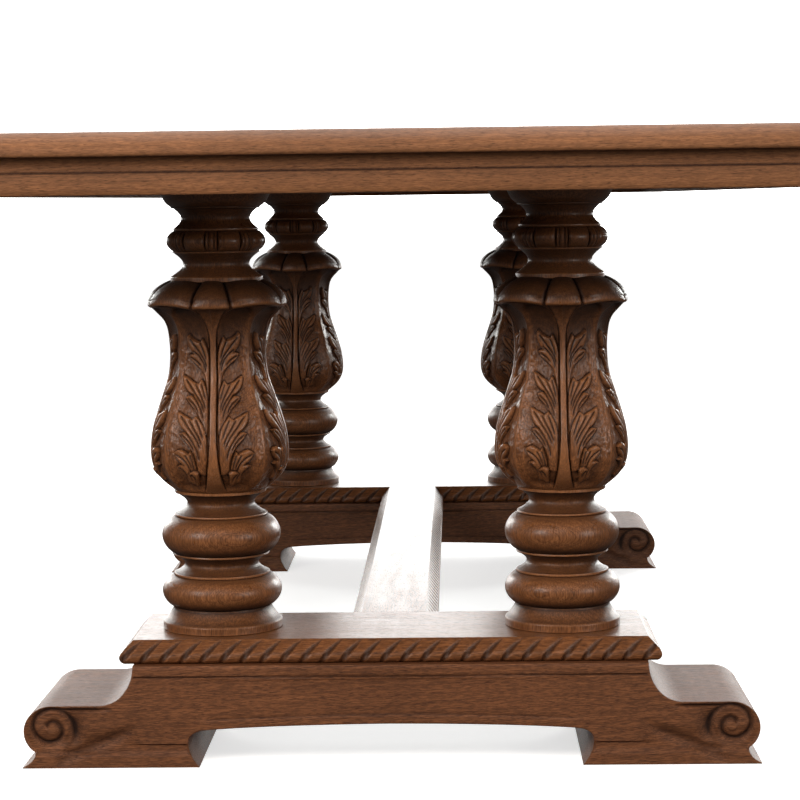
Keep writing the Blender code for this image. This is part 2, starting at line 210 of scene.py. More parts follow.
def timber(along, pith, turn=0.0):
    """Matrix to grain axes for a piece whose fibres run along X, Y or Z, with its pith through a point."""
    axes = np.roll(np.eye(3), {"X": 1, "Y": 2, "Z": 0}[along], axis=1)
    rot = np.array(Matrix.Rotation(turn, 3, "X") @ Matrix.Rotation(turn * 0.7, 3, "Y")) @ axes
    return np.hstack([rot, (-rot @ np.array(pith, float)).reshape(3, 1)])


def around(r, z, theta):
    """Points at radii r and heights z, turned to the angles theta."""
    return np.stack([r * np.cos(theta), r * np.sin(theta), z + 0 * theta], -1)


# ---------- materials
class Nodes:
    """Short calls for building a node tree."""

    def __init__(self, name):
        self.material = bpy.data.materials.new(name)
        self.material.use_nodes = True
        self.tree = self.material.node_tree
        self.shader = self.tree.nodes["Principled BSDF"]

    def link(self, a, b):
        self.tree.links.new(a, b)

    def set(self, socket, value):
        if hasattr(value, "is_output"):
            self.link(value, socket)
        else:
            socket.default_value = value

    def math(self, operation, a, b=None, clamp=False):
        node = self.tree.nodes.new("ShaderNodeMath")
        node.operation = operation
        node.use_clamp = clamp
        self.set(node.inputs[0], a)
        if b is not None:
            self.set(node.inputs[1], b)
        return node.outputs[0]

    def add_scaled(self, total, value, weight, clamp=False):
        return self.math("ADD", total, self.math("MULTIPLY", value, weight), clamp)

    def vector(self, operation, a, b=None, out=0):
        node = self.tree.nodes.new("ShaderNodeVectorMath")
        node.operation = operation
        self.set(node.inputs[0], a)
        if b is not None:
            self.set(node.inputs[1], b)
        return node.outputs[out]

    def attribute(self, name, out):
        node = self.tree.nodes.new("ShaderNodeAttribute")
        node.attribute_name = name
        return node.outputs[out]

    def noise(self, vector, scale, detail=2.0, rough=0.5):
        node = self.tree.nodes.new("ShaderNodeTexNoise")
        node.inputs["Scale"].default_value = scale
        node.inputs["Detail"].default_value = detail
        node.inputs["Roughness"].default_value = rough
        self.link(vector, node.inputs["Vector"])
        return node.outputs["Fac"]

    def mix(self, kind, factor, a, b):
        node = self.tree.nodes.new("ShaderNodeMix")
        node.data_type = "RGBA"
        node.blend_type = kind
        node.clamp_factor = True
        self.set(node.inputs[0], factor)
        self.set(node.inputs[6], a)
        self.set(node.inputs[7], b)
        return node.outputs[2]

    def ramp(self, value, *stops):
        node = self.tree.nodes.new("ShaderNodeValToRGB")
        ramp = node.color_ramp
        ramp.interpolation = "EASE"
        while len(ramp.elements) < len(stops):
            ramp.elements.new(0.5)
        for element, (position, shade) in zip(ramp.elements, stops):
            element.position = position
            element.color = (shade, shade, shade, 1.0)
        self.link(value, node.inputs[0])
        return node.outputs[0]

    def surface(self, colour, rough, height, strength, distance):
        """Links the shader's colour, roughness and bump."""
        bump = self.tree.nodes.new("ShaderNodeBump")
        bump.inputs["Strength"].default_value = strength
        bump.inputs["Distance"].default_value = distance
        self.link(height, bump.inputs["Height"])
        for name, value in (("Base Color", colour), ("Roughness", rough), ("Normal", bump.outputs[0])):
            self.link(value, self.shader.inputs[name])


def wood_material(name, dark, light, ring, fine, warp, low, high, sheen=0.42, fleck=0.64):
    """Lacquered brown hardwood: growth rings, fibres, open pores, painted shade in hollows and under faces,
    rubbed wear with a painted highlight on crests.

    ring and fine are the spacings of the broad bands and the year lines, warp is how far they wander, low and
    high are the roughness, and fleck is the brightness left inside a fleck."""
    n = Nodes(name)
    grain = n.attribute("grain", "Vector")
    cavity = n.attribute("cavity", "Fac")
    wear = n.attribute("wear", "Fac")

    def along(stretch):
        """The grain's coordinates, drawn out along the fibres."""
        return n.vector("MULTIPLY", grain, (1.0, 1.0, stretch))

    # growth rings round the pith: broad bands, and the fine lines of each year
    sway = n.noise(along(0.14), 11.0, 3.0, 0.55)
    ripple = n.noise(along(0.30), 60.0, 2.0, 0.5)
    radius = n.vector("LENGTH", along(0.0), out=1)
    radius = n.add_scaled(radius, sway, 0.022 * warp)
    radius = n.add_scaled(radius, ripple, 0.0022 * warp)
    broad = n.math("FRACT", n.math("MULTIPLY", radius, 1.0 / ring))
    broad = n.ramp(broad, (0.0, 0.2), (0.2, 0.6), (0.6, 0.95), (0.85, 0.6), (1.0, 0.2))
    lines = n.math("FRACT", n.math("MULTIPLY", radius, 1.0 / fine))
    lines = n.ramp(lines, (0.0, 0.0), (0.22, 0.85), (0.76, 1.0), (1.0, 0.0))

    # fibres, pores and slow changes of tone
    fibres = n.noise(along(0.045), 760.0, 3.0, 0.62)
    bands = n.noise(along(0.08), 75.0, 3.0, 0.55)
    pores = n.ramp(n.noise(along(0.08), 1400.0, 1.0, 0.5), (0.56, 0.0), (0.68, 1.0))
    flecks = n.ramp(n.noise(along(0.14), 620.0, 2.0, 0.6), (0.42, 1.03), (0.56, fleck))
    cloud = n.noise(grain, 6.0, 3.0, 0.5)

    figure = n.add_scaled(n.add_scaled(n.math("MULTIPLY", broad, 0.30), bands, 0.34), lines, 0.40)
    colour = n.mix("MIX", figure, dark, light)
    tone = n.math("MULTIPLY", n.add_scaled(0.60, fibres, 1.10), n.add_scaled(0.68, cloud, 0.64))
    shade = n.tree.nodes.new("ShaderNodeCombineColor")
    for socket in shade.inputs[:3]:
        n.link(tone, socket)
    colour = n.mix("MULTIPLY", 1.0, n.mix("MULTIPLY", 1.0, colour, shade.outputs[0]), flecks)
    colour = n.mix("MIX", n.math("MULTIPLY", pores, 0.55), colour, tint(dark, 0.22, 0.20, 0.20))
    blotch_noise = n.noise(grain, 170.0, 3.0, 0.6)
    # crests lightened towards a paler, greyer colour: rubbed wear and painted highlight
    rubbed_and_lit = n.math("MULTIPLY", wear, n.add_scaled(0.25, blotch_noise, 0.9), clamp=True)
    colour = n.mix("MIX", n.math("MULTIPLY", rubbed_and_lit, 0.55), colour, tint(light, 1.35, 1.45, 1.60))
    # hollows, creases and undersides darkened towards a near-black brown: painted shade
    deep = n.math("MULTIPLY", cavity, n.add_scaled(0.70, blotch_noise, 0.6), clamp=True)
    colour = n.mix("MIX", deep, colour, SHADE_COLOUR)

    rough = n.add_scaled(low, n.noise(grain, 28.0, 4.0, 0.6), (high - low) * 0.6)
    rough = n.add_scaled(rough, fibres, (high - low) * 0.5)
    rough = n.add_scaled(rough, bands, (high - low) * 0.9)
    rough = n.add_scaled(rough, cavity, 0.22)
    rough = n.add_scaled(rough, pores, 0.12, clamp=True)

    height = n.add_scaled(n.math("MULTIPLY", fibres, 0.45), bands, 0.9)
    height = n.math("SUBTRACT", height, n.math("MULTIPLY", pores, 0.85))
    height = n.add_scaled(height, n.noise(grain, 420.0, 3.0, 0.6), n.math("MULTIPLY", cavity, 1.6))
    n.surface(colour, rough, height, 0.34, 0.0005)
    n.shader.inputs["Specular IOR Level"].default_value = sheen
    return n.material


def tint(colour, red, green, blue):
    return (colour[0] * red, colour[1] * green, colour[2] * blue, 1.0)


def steel_material():
    n = Nodes("zinc_plated_steel")
    where = n.tree.nodes.new("ShaderNodeTexCoord").outputs["Object"]
    spangle = n.noise(where, 900.0, 3.0, 0.6)
    stain = n.ramp(n.noise(where, 60.0, 3.0, 0.5), (0.42, 0.0), (0.62, 1.0))
    colour = n.mix("MIX", stain, (0.50, 0.50, 0.48, 1.0), (0.34, 0.31, 0.26, 1.0))
    n.surface(colour, n.add_scaled(0.30, spangle, 0.25), spangle, 0.15, 0.0002)
    n.shader.inputs["Metallic"].default_value = 1.0
    return n.material


def bearer_material():
    """Unlacquered wood for the bearers and dowels, by object coordinates."""
    n = Nodes("bearer_hardwood")
    where = n.tree.nodes.new("ShaderNodeTexCoord").outputs["Object"]
    streak = n.noise(n.vector("MULTIPLY", where, (0.05, 1.0, 1.0)), 320.0, 4.0, 0.6)
    band = n.noise(n.vector("MULTIPLY", where, (0.12, 1.0, 1.0)), 40.0, 3.0, 0.5)
    band = n.ramp(band, (0.35, 0.0), (0.65, 1.0))
    colour = n.mix("MIX", band, (0.105, 0.048, 0.022, 1.0), (0.190, 0.098, 0.048, 1.0))
    colour = n.mix("MULTIPLY", 0.5, colour, n.ramp(streak, (0.3, 0.45), (0.7, 1.0)))
    n.surface(colour, n.add_scaled(0.5, streak, 0.3), streak, 0.3, 0.0005)
    return n.material


# near-black brown painted into hollows, creases and undersides as shade
SHADE_COLOUR = (0.0190, 0.0068, 0.0030, 1.0)
column_wood = wood_material("carved_hardwood", (0.060, 0.0190, 0.0070, 1.0), (0.252, 0.0960, 0.0345, 1.0),
                            ring=0.0045, fine=0.0011, warp=0.8, low=0.16, high=0.29)
base_wood = wood_material("plinth_hardwood", (0.064, 0.0205, 0.0076, 1.0), (0.222, 0.0840, 0.0305, 1.0),
                          ring=0.0060, fine=0.0012, warp=1.0, low=0.18, high=0.31)
sled_wood = wood_material("sled_hardwood", (0.062, 0.0200, 0.0074, 1.0), (0.196, 0.0725, 0.0275, 1.0),
                          ring=0.0075, fine=0.0013, warp=1.2, low=0.44, high=0.58)
top_wood = wood_material("top_hardwood", (0.104, 0.0385, 0.0150, 1.0), (0.245, 0.1030, 0.0410, 1.0),
                         ring=0.0080, fine=0.0013, warp=1.2, low=0.40, high=0.56, sheen=0.36, fleck=0.80)
steel = steel_material()
bearer_wood = bearer_material()

# ---------- columns, drawn in mm about their own axis
# (height, radius) of the carved vase
VASE = (
    (180.0, 57.5), (188.0, 67.7), (196.0, 75.8), (206.0, 82.2), (218.0, 85.8), (234.0, 86.6),
    (256.0, 83.9), (280.0, 77.4), (304.0, 69.4), (328.0, 61.9), (356.0, 59.4), (380.0, 61.1),
    (396.0, 66.2), (408.0, 76.5), (416.5, 85.2),
)
QUARTER = math.pi / 4


def moulding(start, end, bulge, steps, power=1.0):
    """The points after start of a curve to end that swells by bulge, or sinks where bulge is negative."""
    out = []
    for k in range(1, steps + 1):
        t = 0.5 - 0.5 * math.cos(math.pi * k / steps)
        swell = bulge * math.sin(math.pi * t) ** power if k < steps else 0.0
        out.append((start[0] + (end[0] - start[0]) * t, start[1] + (end[1] - start[1]) * t + swell))
    return out


# (height, painted shade) of the turned base: left light on the rings and bellies, dark beside every small
# bead, under the tori and in the coves
LOWER_SHADE = (
    (0.0, 0.1), (10.0, 0.14), (11.5, 0.65), (14.0, 0.45), (16.5, 0.3), (20.5, 0.34), (23.5, 0.5),
    (26.2, 0.7), (29.0, 0.7), (34.0, 0.45), (40.0, 0.05), (62.0, 0.0), (65.5, 0.34), (69.2, 0.55),
    (69.7, 0.0), (72.1, 0.0), (72.8, 0.6), (79.5, 0.52), (84.5, 0.0), (90.0, 0.04), (94.8, 0.4),
    (95.2, 0.0), (97.6, 0.0), (98.0, 0.7), (103.0, 0.45), (109.0, 0.05), (137.5, 0.0), (141.5, 0.34),
    (146.0, 0.55), (146.4, 0.0), (148.5, 0.0), (149.0, 0.6), (158.0, 0.52), (163.5, 0.0), (170.0, 0.04),
    (175.2, 0.4), (176.0, 0.0), (180.0, 0.0),
)


def lower_profile():
    """(height, radius) of the turned base, foot ring to the small ring under the vase."""
    p = [(0.0, 74.2), (0.8, 75.1), (9.2, 75.1), (10.4, 74.4)]
    p += moulding(p[-1], (25.5, 62.8), -1.2, 10)
    p += [(26.2, 62.2), (28.8, 61.8), (29.0, 60.0)]
    p += moulding(p[-1], (69.0, 60.0), 15.1, 34, 0.6)
    p += [(69.2, 58.6), (69.6, 60.2), (70.8, 60.6), (72.2, 60.2), (72.8, 58.0)]
    p += moulding(p[-1], (94.8, 57.8), -11.5, 20)
    p += [(95.0, 59.6), (96.2, 60.2), (97.4, 59.8), (98.0, 58.2)]
    p += moulding(p[-1], (145.5, 57.5), 16.6, 34, 0.6)
    p += [(146.0, 56.0), (146.3, 58.0), (147.4, 58.5), (148.6, 58.0), (149.0, 56.2)]
    p += moulding(p[-1], (175.2, 54.5), -13.1, 22)
    p += [(175.5, 56.2), (176.2, 57.2), (179.0, 57.2), (179.8, 56.2), (180.0, 54.0)]
    return p


def collar_profile():
    """Fillet and neck above the petals, up to the bead."""
    p = [(446.2, 52.0), (446.6, 56.8), (447.4, 57.6), (452.2, 57.6), (453.0, 57.0)]
    p += moulding(p[-1], (483.2, 53.0), -13.7, 26)
    p += [(483.6, 54.0), (485.0, 54.2), (485.6, 52.0)]
    return p


def cap_profile():
    """Fillet, neck, step and flared cap above the bead."""
    p = [(510.8, 50.0), (511.4, 52.6), (512.2, 53.2), (514.0, 53.2), (514.6, 51.8)]
    p += moulding(p[-1], (539.2, 51.8), -8.9, 22)
    p += [(539.6, 54.2), (540.2, 55.6), (541.6, 55.8), (542.0, 56.8)]
    p += moulding(p[-1], (552.0, 65.5), 1.2, 10)
    p += moulding(p[-1], (561.1, 69.8), 0.0, 6)
    return p


# The leaves on one side of a panel, top one first: outline (curves that start where the last one ended),
# veins, and how far it stands up. Points are (distance from the stem, height).
LEAVES = (
    ((((6.4, 300), (5.8, 330), (5.9, 350), (8.2, 364), (13.4, 376)), ((16.5, 372),),
      ((22.5, 374), (28.0, 377), (31.8, 381)), ((32.2, 372), (29.0, 363), (23.6, 357)),
      ((27.4, 357.5), (31.0, 356)),
      ((27.6, 349), (20.6, 343), (13.8, 335), (10.4, 326), (8.8, 314), (7.6, 300))),
     (((28.6, 376), (19.6, 363), (11.8, 351), (7.6, 337)), ((15.9, 371), (11.8, 360), (8.4, 347)),
     ((24.6, 361), (18.0, 355), (12.0, 345), (9.2, 332)),
     ((27.6, 353), (20.2, 347.5), (13.8, 339))), 0.0),
    ((((7.4, 256), (6.4, 277), (7.0, 296), (8.2, 310), (13.4, 324)), ((17.6, 319),),
      ((23.4, 321), (29.4, 325), (35.0, 329)), ((35.2, 321), (32.0, 312), (23.6, 305)),
      ((28.6, 305), (33.6, 303)), ((29.2, 296), (22.4, 288), (18.0, 279), (14.8, 270), (13.0, 256))),
     (((31.0, 323.5), (22.0, 308), (14.6, 296), (10.2, 283)),
     ((20.6, 318.5), (16.4, 309), (11.9, 298), (8.6, 286)), ((13.6, 318.5), (11.0, 308), (8.2, 297)),
     ((25.4, 306), (20.2, 298.5), (14.8, 287), (11.6, 274)),
     ((30.0, 300.5), (22.4, 293), (17.2, 281.5))), 0.0),
    ((((9.4, 204), (8.4, 237), (9.2, 258), (13.6, 270), (20.6, 280)), ((26.4, 275.5),),
      ((31.0, 278.5), (37.4, 281.5), (43.6, 285)), ((43.6, 276), (40.2, 267), (32.6, 259)),
      ((37.6, 260), (43.0, 259)), ((37.6, 251), (29.0, 241), (23.4, 230), (20.6, 219), (19.4, 204))),
     (((39.0, 279), (30.0, 265), (21.4, 252), (14.8, 237)),
     ((28.6, 274.5), (23.6, 264.5), (17.4, 253), (13.2, 241)), ((20.4, 274.5), (15.9, 263), (11.2, 249)),
     ((34.0, 260), (27.2, 250.5), (20.0, 236), (17.2, 222)),
     ((38.8, 256.5), (29.6, 247), (22.8, 234))), 0.0),
    ((((19.5, 190), (21.8, 208), (23.9, 221), (28.6, 235)), ((31.4, 230.5),),
      ((36.5, 235), (43.5, 237), (49.0, 233)), ((45.2, 225), (40.2, 220), (36.6, 217)),
      ((41.2, 217.5), (46.0, 216)), ((40.2, 211), (35.2, 204), (31.5, 192))),
     (((45.6, 230.5), (38.6, 226), (32.2, 218), (26.8, 204)), ((34.4, 230), (30.6, 222.5), (26.2, 211)),
     ((28.4, 230), (25.8, 220), (23.2, 209)), ((42.8, 214), (36.6, 208), (32.4, 199))), 0.3),
    ((((19.4, 189), (19.6, 199), (18.8, 208)), ((24.0, 211.5), (30.0, 207.5)),
      ((27.0, 202), (23.6, 189))),
     (((27.4, 206.5), (23.4, 201), (21.4, 191)),), 1.0),
)


def inside_polygon(points, poly):
    x, y = points.T
    inside = np.zeros(len(points), bool)
    for (ax, ay), (bx, by) in zip(poly, np.roll(poly, 1, axis=0)):
        if ay != by:
            inside ^= ((ay > y) != (by > y)) & (x < (bx - ax) * (y - ay) / (by - ay) + ax)
    return inside


def line_distance(points, line):
    """Distance from each point to a polyline."""
    best = np.full(len(points), 1e9)
    for a, b in zip(line, line[1:]):
        e = b - a
        f = unit(((points - a) @ e) / max(float(e @ e), 1e-12))
        best = np.minimum(best, np.hypot(*(points - a - f[:, None] * e).T))
    return best


def leaf_relief(points, outline, veins, lift, side, sway):
    """A leaf's height over the vase, groove depth 0..1, distance inside its edge, and share of its length."""
    foot = outline[0][0][1]
    head = max(z for edge in outline for _, z in edge)

    def place(line):
        """Spread evenly, moved a little from leaf to leaf, and laid round the vase."""
        q = np.array(curve_through(line, 5) if len(line) > 2 else resample(line, 1.5))
        grown = (q[:, 1] - foot) / (head - foot)
        reach, rise = q[:, 0] * (1.0 + 0.035 * sway[0] * grown), q[:, 1] + 1.3 * sway[1] * grown
        radius = np.interp(rise, *np.array(VASE).T)
        return np.stack([side * radius * np.arcsin(np.clip(reach / radius, -0.95, 0.95)), rise], -1)

    starts = [()] + [line[-1:] for line in outline]
    edge = np.concatenate([place(start + line)[:-1] for start, line in zip(starts, outline)])
    distance = line_distance(points, np.concatenate([edge, edge[:1]]))
    depth_in = np.where(inside_polygon(points, edge), distance, -distance)
    grown = unit((points[:, 1] - foot) / (head - foot))
    top = np.interp(grown, [0.0, 0.4, 0.78, 1.0], [-1.1, -0.6, 0.7, 1.9]) + lift
    cut, broad = np.zeros(len(points)), np.zeros(len(points))
    for vein in veins:
        line = place(vein)
        d = line_distance(points, line)
        fade_in = smooth(0.0, 7.0, np.hypot(*(points - line[-1]).T))
        cut = np.maximum(cut, bell(d, 1.0) * fade_in)
        broad = np.maximum(broad, bell(d, 2.3) * fade_in)
    top = top - 1.3 * np.exp(-np.clip(depth_in, 0, None)) - 1.5 * cut - 0.55 * broad
    return top - 7.0 * np.clip(-depth_in - 0.1, 0, None), cut * (depth_in > -0.3), depth_in, grown


def carve(phi, z, radius, seed):
    """Height over the turned vase (negative is cut in), painted shade, and rubbed wear with a painted
    highlight. phi runs from a panel's middle.
    """
    v = np.abs(phi) / QUARTER
    x = radius * phi
    ax, half = np.abs(x), radius * QUARTER
    fade = smooth(181.0, 189.0, z)

    ground = -4.2 * (1.0 - smooth(0.68, 0.985, v)) * fade
    tooling = 0.34 * value_noise(x + 900, z, 2.4, seed) + 0.38 * value_noise(x + 500, z, 6.5, seed + 3)
    ground += tooling * fade * (v < 0.97)
    ridge = bell((1.0 - v) * half, 1.5) * fade
    ground += 0.5 * ridge

    # flutes with arched tops beside the spoon-shaped head of the stem
    spoon = np.interp(z, [366, 374, 386, 396, 406, 416], [3.9, 4.3, 5.6, 8.5, 13.5, 20.0])
    upper = smooth(362.0, 382.0, z)
    t = unit((ax - spoon) / np.maximum(half * 0.965 - spoon, 1.0))
    arch = 416.0 - 11.0 * np.abs(2 * t - 1) ** 2.6
    scoop = -6.0 * np.sin(np.pi * t ** 0.85) ** 0.7 * smooth(-1.0, 5.0, arch - z) - 0.3
    ground = ground * (1 - upper) + np.where(t > 0, scoop, -0.3) * upper

    height = ground
    near, grooves, leaf = np.zeros((3,) + height.shape)
    chance = np.random.default_rng(seed)
    for side in (-1.0, 1.0):
        for outline, veins, lift in LEAVES:
            sway = chance.normal(0.0, 1.0, 2)
            ends = np.array([point for edge in outline for point in edge])
            rows = (z > ends[:, 1].min() - 5.0) & (z < ends[:, 1].max() + 7.0)
            rows &= (x * side > ends[:, 0].min() - 5.0) & (x * side < ends[:, 0].max() * 1.3 + 6.0)
            points = np.stack([x[rows], z[rows]], -1)
            top, cut, depth_in, grown = leaf_relief(points, outline, veins, lift, side, sway)
            old = height[rows]
            above = top > old
            height[rows] = np.maximum(old, top)
            grooves[rows] = np.where(above, cut, grooves[rows])
            leaf[rows] = np.where(above, unit(grown + 0.2), leaf[rows])
            # painted shadow round the outside of each leaf, stronger towards its tip
            rim = bell(np.clip(-depth_in - 0.6, 0, None), 1.5) * smooth(0.25, 0.65, grown)
            near[rows] = np.maximum(near[rows] * (1 - above * (depth_in > 0)), rim * (1 - above))
    height = height - 0.9 * near

    # the stem: a flat bead between two grooves, widening to the foot and to the spoon
    stem = np.interp(z, [180, 187, 199, 223, 250, 321, 370], [12.8, 11.2, 9.2, 6.4, 4.5, 4.3, 4.2])
    stem = np.maximum(stem, np.where(z > 366, spoon, 0))
    inside = 1.0 - smooth(0.90, 1.04, ax / stem)
    low_face = 0.35 - 0.55 * (ax / stem) ** 2
    high_face = -0.1 - 1.5 * np.sin(np.pi * unit(ax / stem)) * smooth(4.2, 12.0, stem)
    face = low_face + (high_face - low_face) * smooth(374, 392, z)
    face += 0.55 * bell(x, 0.9) * smooth(300, 330, z)
    height = height * (1 - inside) + face * inside
    cut = bell(ax - stem * 1.06, 0.85) * smooth(180, 185, z) * (1 - 0.4 * smooth(380, 400, z))
    height = height - 1.8 * cut
    leaf = np.maximum(leaf, inside)

    # painted shade: the leaves' grooves, the dark rim round each leaf, the grooves beside the stem and the
    # deep ground
    deep = smooth(-1.2, -4.2, height)
    cavity = 0.95 * near + 0.75 * cut + grooves * (leaf > 0) + 0.32 * deep
    # painted shadow under the lip and the petals, over the top of the vase
    cavity += 0.44 * smooth(325.0, 392.0, z) + 0.36 * smooth(402.0, 413.0, z)
    # rubbed wear and painted highlight on the border ridges and the leaves' crests
    wear = 0.80 * ridge + 0.85 * leaf * (1 - grooves) * smooth(-1.4, 0.6, height)
    cavity = unit(cavity)
    return height, cavity, unit(wear) * (1 - cavity)


def turned(build, profile, shade_by_height):
    """A turned member. Inside corners and undersides get painted shade, and crests get rubbed wear with a
    painted highlight.

    The third argument adds more painted shade by height, as (height, amount)."""
    segments, step = 144, 1.1
    p = np.array(resample(profile, step))
    co = around(p[:, 1:], p[:, :1], np.linspace(0, 2 * np.pi, segments, endpoint=False))
    heading = np.unwrap(np.arctan2(np.gradient(p[:, 1]), np.gradient(p[:, 0])))
    travel = np.concatenate([[0], np.cumsum(np.hypot(*np.diff(p, axis=0).T))])
    bend = np.interp(travel + step, travel, heading) - np.interp(travel - step, travel, heading)
    under = unit(np.sin(np.interp(travel + 1.6, travel, heading)))
    # painted shade: darker in inside bends and on faces turned down, plus the height table
    hollow = np.clip(bend * 0.55, 0, 0.8) + 0.50 * under ** 1.3 + np.interp(p[:, 0], *np.array(shade_by_height).T)
    # crests: rubbed wear and painted highlight
    crest = unit(-bend * 1.1 - 0.05)
    build.grid(co, True, np.repeat(unit(hollow), segments), np.repeat(crest, segments))
    return co


def petal_ring(build, theta, phi, seed):
    """Eight convex petals over the lip: narrow ones above the stems, wide ones between them."""
    narrow, rows, neck, rim_rise = math.radians(17.5), 36, 55.2, 3.6
    a = np.abs(phi)
    s = np.linspace(0, 1, rows)[:, None]
    split = narrow * (1.0 - 0.22 * s)
    slim = a < split
    half_angle = np.where(slim, split, QUARTER - split)
    lobe = np.where(slim, a, QUARTER - a) / half_angle
    foot = np.where(slim, 413.8, 413.6 + 3.6 * (1 - lobe ** 2))
    head = 449.6 - np.where(slim, 3.0, 4.8) * lobe ** 4
    lip = np.where(slim, 86.8, 87.6)
    # the rows run up the rim first, then over the back of the petal to its head
    under, over = unit(s / 0.16), unit((s - 0.16) / 0.84)
    angle = over * np.pi / 2
    z = foot + rim_rise * under ** 1.4 + (head - foot - rim_rise) * (0.60 * over + 0.40 * np.sin(angle))
    r = neck + (lip - neck) * (0.34 * (1 - over) + 0.66 * np.cos(angle)) - 4.0 * (1 - under) ** 1.6
    r = r + 3.4 * (1 - lobe ** 2) * np.sin(np.pi * over) - 1.6 * lobe ** 2 * (s < 0.3)
    seam = bell((1 - lobe) * half_angle * r, 1.8)
    r = r - 5.2 * seam * (0.5 + 0.5 * np.sin(np.pi * np.clip(s, 0.05, 0.95)))
    r = r + 0.22 * value_noise(theta * 600, z * 9, 5.0, seed)
    co = around(r, z, theta)
    # painted shade in the seams and over the petals' backs, and rubbed wear with a painted highlight along
    # the lip
    shade = 0.75 * seam + 0.50 * smooth(0.17, 0.34, s) + 0.36 * smooth(0.40, 1.0, s) + 0.12 * lobe ** 2
    build.grid(co, True, unit(shade), bell(s - 0.13, 0.06) * (1 - seam))
    # the underside of the lip, in painted shade
    inner = co[0] * (0.90, 0.90, 1.0) - (0, 0, 0.6)
    build.grid(np.stack([inner, co[0]]), True, np.full((2, len(theta)), 0.6))


def bead_and_reel(build, theta):
    """Long beads with a short grooved reel between each two."""
    half, reel_half, rows = math.pi / 8, math.radians(7.5), 28
    b = np.abs((theta + half) % (2 * half) - half)
    bead = unit((half - b) / (half - reel_half))
    rise = 0.5 - 0.5 * np.cos(np.pi * np.linspace(0, 1, rows)[:, None])
    # beads end in rounded tips, so their height narrows towards the reel
    waist = np.sqrt(unit(1 - bead ** 3.4))
    body = np.sin(np.pi * rise) ** 0.6
    v = b / reel_half
    rib = 0.78 + 0.20 * bell(v, 0.30) + 0.16 * bell(v - 0.72, 0.17)
    swell = np.where(v < 1, rib, 0.30 + 0.76 * waist)
    part = 0.6 * bell(v - 0.46, 0.11) * (v < 1) + bell(b - reel_half, 0.015)
    r = 52.0 + 10.4 * body * swell - 1.8 * unit(part) * body
    # painted shade in the partings and where the beads turn in above and below; rubbed wear and painted
    # highlight on the beads' crowns
    cavity = unit(0.05 + 0.9 * part * body + 0.5 * (1 - body))
    build.grid(around(r, 485.0 + 26.2 * rise, theta), True, cavity, 0.3 * body * (swell > 0.9))


def column_shape():
    """The carved column; its four panels differ a little."""
    build = Build()
    turned(build, lower_profile(), LOWER_SHADE)
    turned(build, collar_profile(), ((454, 0.0), (460, 0.14)))
    cap = turned(build, cap_profile(), ((0.0, 0.0),))
    build.add(cap[-1], [np.arange(cap.shape[1])])

    theta = np.linspace(0, 2 * np.pi, 560, endpoint=False)
    phi = (theta + QUARTER) % (2 * QUARTER) - QUARTER
    panel = np.floor((theta + QUARTER) / (2 * QUARTER)).astype(int) % 4
    p = np.array(resample(curve_through(VASE, 12), 0.85))
    slope = np.gradient(p[:, 1]) / np.gradient(p[:, 0])
    face = np.stack([np.ones(len(p)), -slope], -1) / np.hypot(1, slope)[:, None]
    z, r = (np.repeat(column[:, None], len(theta), 1) for column in p.T)
    relief = np.zeros((3,) + z.shape)
    for k in range(4):
        cols = panel == k
        relief[:, :, cols] = carve(phi[cols], z[:, cols], r[:, cols], 31 + k)
    height, cavity, wear = relief
    build.grid(around(r + height * face[:, :1], z + height * face[:, 1:], theta), True, cavity, wear)
    petal_ring(build, theta, phi, 5)
    bead_and_reel(build, theta)
    return build


# Each column's quarter turns, the direction (degrees) and distance (m) of its pith from its axis, and how its
# girth and its place (m) differ from the others'
COLUMNS = (
    ("column_front_left", 0, -22.7, 0.125, 1.024, 0.0018),
    ("column_front_right", 1, 15.0, 0.110, 0.985, -0.0004),
    ("column_rear_left", 2, 10.0, 0.140, 1.0, 0.0),
    ("column_rear_right", 3, -18.0, 0.120, 1.0, 0.0),
)
QUARTER_TURN = np.array([[0, -1, 0], [1, 0, 0], [0, 0, 1]])
shape = column_shape()
shape_points = shape.verts
for node, turns, lean, away, girth, aside in COLUMNS:
    x, y, _ = centre_of(node)
    spin = np.linalg.matrix_power(QUARTER_TURN, turns)
    foot = (x + aside, y, PLINTH_TOP + 0.0003)
    shape.verts = [(points * MM * (girth, girth, 1.0)) @ spin.T + foot for points in shape_points]
    lean = math.radians(lean)
    pith = (x + aside + away * math.sin(lean), y + away * math.cos(lean), 0.45)
    shape.finish(node, timber("Z", pith, 0.03), "wood", column_wood, 42.0)


# ---------- rope edges
ROPE_PITCH, ROPE_REACH, ROPE_DROP = 0.0252, 0.0160, 0.0290
STRETCHER_HALF = stretcher_high.x - ROPE_REACH


def rope_profile():
    """(out from the flat, drop) round the nosing, evenly spaced."""
    nosing = arc(0.0073, 0.0203, 0.0087, 0.0087, -45.0, 90.0, 18)
    return np.array(resample([(0.0, 0.0)] + nosing + [(0.0, ROPE_DROP)], 0.00125))


def rope_relief(s, t, hand):
    """Depth of the gouge cuts in the nosing, painted shade, and rubbed wear with a painted highlight.

    s runs along the edge, t from 0 at the flat to 1 at the foot. hand is the way the rope is laid."""
    run = 0.0300 * (1.0 - (1.0 - t) ** 1.8)
    d = (((s + hand * run) / ROPE_PITCH) % 1.0 - 0.5) * ROPE_PITCH
    reach = np.sin(np.pi * unit((t - 0.015) / 0.875))
    half = 0.0005 + 0.0047 * reach ** 0.8
    bowl = unit(1.0 - (d / half) ** 2)
    shoulder = bell(np.abs(d) - half - 0.0006, 0.0010) * reach
    cut = 0.0036 * reach ** 0.6 * bowl + 0.0004 * shoulder
    # painted shade in each gouge and on the underside of the nosing
    cavity = unit(0.80 * bowl ** 0.45 * reach ** 0.3 + 0.55 * smooth(0.84, 1.0, t))
    # rubbed wear and painted highlight on the shoulders between the gouges
    wear = 0.8 * shoulder * (1.0 - bowl ** 0.3) * (1 - smooth(0.6, 0.9, t))
    return cut, cavity, wear


